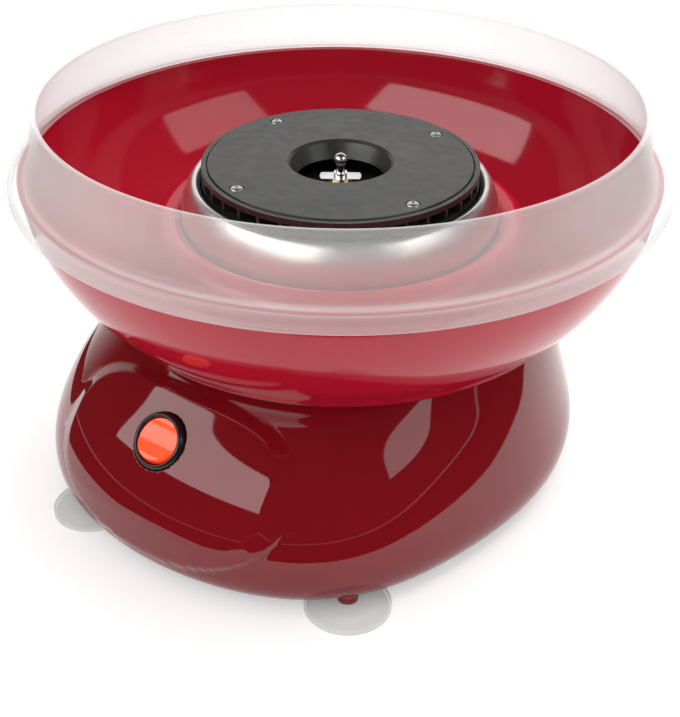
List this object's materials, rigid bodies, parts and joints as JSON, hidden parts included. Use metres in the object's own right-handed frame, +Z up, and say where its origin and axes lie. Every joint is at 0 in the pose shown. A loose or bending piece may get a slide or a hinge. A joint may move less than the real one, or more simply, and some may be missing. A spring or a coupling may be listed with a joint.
{
  "type": "cotton candy machine",
  "caption": "Electric table-top cotton candy machine: red base with rocker switch and suction feet, lift-off bowl and clear splash guard round a spinning sugar head.",
  "frame": {"origin": "on the table under the spindle's axis", "axes": "+Z up along the spindle, -Y out of the front with the switch"},
  "size_m": [0.2902, 0.2902, 0.1749],
  "materials": {
    "base_red": "deep red, high gloss",
    "bowl_red": "bright red, high gloss",
    "guard_clear": "frosted translucent",
    "foot_clear": "clear soft plastic",
    "underside_black": "matt black",
    "screw_steel": "zinc plated",
    "bezel_black": "satin black",
    "rocker_red": "translucent red, lit",
    "contact_brass": "plain brass",
    "lead_insulation": "silicone insulation",
    "motor_steel": "zinc plated steel",
    "magnet_grey": "ferrite",
    "moulded_black": "moulded black",
    "carbon": "carbon",
    "bearing_bronze": "sintered bronze",
    "grommet_rubber": "soft rubber",
    "ring_aluminium": "spun, polished",
    "post_steel": "plain steel",
    "heater_ceramic": "unglazed ceramic",
    "heater_rod": "heat-darkened steel",
    "board_green": "glass-fibre board",
    "block_white": "white nylon",
    "core_steel": "stacked steel sheets",
    "winding_copper": "enamelled copper",
    "spindle_chrome": "bright steel",
    "head_black": "satin black",
    "pan_black": "non-stick coating"
  },
  "bodies": {
    "base": {"base_housing": "base_red", "base_plate": "underside_black", "base_screws": "screw_steel", "foot_front_left": "foot_clear", "foot_front_right": "foot_clear", "foot_rear_left": "foot_clear", "foot_rear_right": "foot_clear", "switch_bezel": "bezel_black", "switch_terminals": "contact_brass", "switch_leads": "lead_insulation", "motor_can": "motor_steel", "motor_magnets": "magnet_grey", "motor_end_cap": "moulded_black", "motor_brushes": "carbon", "motor_leads": "lead_insulation", "bearing_lower": "bearing_bronze", "bearing_upper": "bearing_bronze", "motor_bracket": "motor_steel", "bracket_grommets": "grommet_rubber", "bracket_screws": "screw_steel", "motor_screws": "screw_steel", "reflector_ring": "ring_aluminium", "reflector_screws": "screw_steel", "heater_posts": "post_steel", "heater_carrier": "heater_ceramic", "heater_element": "heater_rod", "heater_cradles": "post_steel", "heater_screws": "screw_steel", "heater_leads": "lead_insulation", "thermal_cutout": "heater_rod", "circuit_board": "board_green", "board_diodes": "moulded_black", "board_capacitor": "moulded_black", "terminal_block": "block_white", "board_screws": "screw_steel", "gland_body": "moulded_black", "gland_nut": "moulded_black"},
    "rotor": {"armature_core": "core_steel", "armature_windings": "winding_copper", "commutator": "winding_copper", "spindle": "spindle_chrome", "drive_pin": "spindle_chrome"},
    "head": {"head_cover": "head_black", "head_basket": "head_black", "head_pan": "pan_black", "head_hub": "contact_brass", "head_clip": "spindle_chrome", "head_screws": "spindle_chrome"},
    "bowl": {"bowl": "bowl_red"},
    "guard": {"splash_guard": "guard_clear"},
    "rocker": {"switch_rocker": "rocker_red"}
  },
  "joints": [
    {"name": "rotor_spin", "type": "hinge", "parent": "base", "child": "rotor", "pos_m": [0, 0, 0.1], "axis": [0, 0, 1], "continuous": true},
    {"name": "head_lift", "type": "slide", "parent": "rotor", "child": "head", "axis": [0, 0, 1], "range_m": [0, 0.06]},
    {"name": "bowl_lift", "type": "slide", "parent": "base", "child": "bowl", "axis": [0, 0, 1], "range_m": [0, 0.12]},
    {"name": "guard_lift", "type": "slide", "parent": "bowl", "child": "guard", "axis": [0, 0, 1], "range_m": [0, 0.06]},
    {"name": "rocker_tilt", "type": "hinge", "parent": "base", "child": "rocker", "pos_m": [0, -0.12482, 0.06158], "axis": [1, 0, 0], "range_deg": [0, 24]}
  ]
}
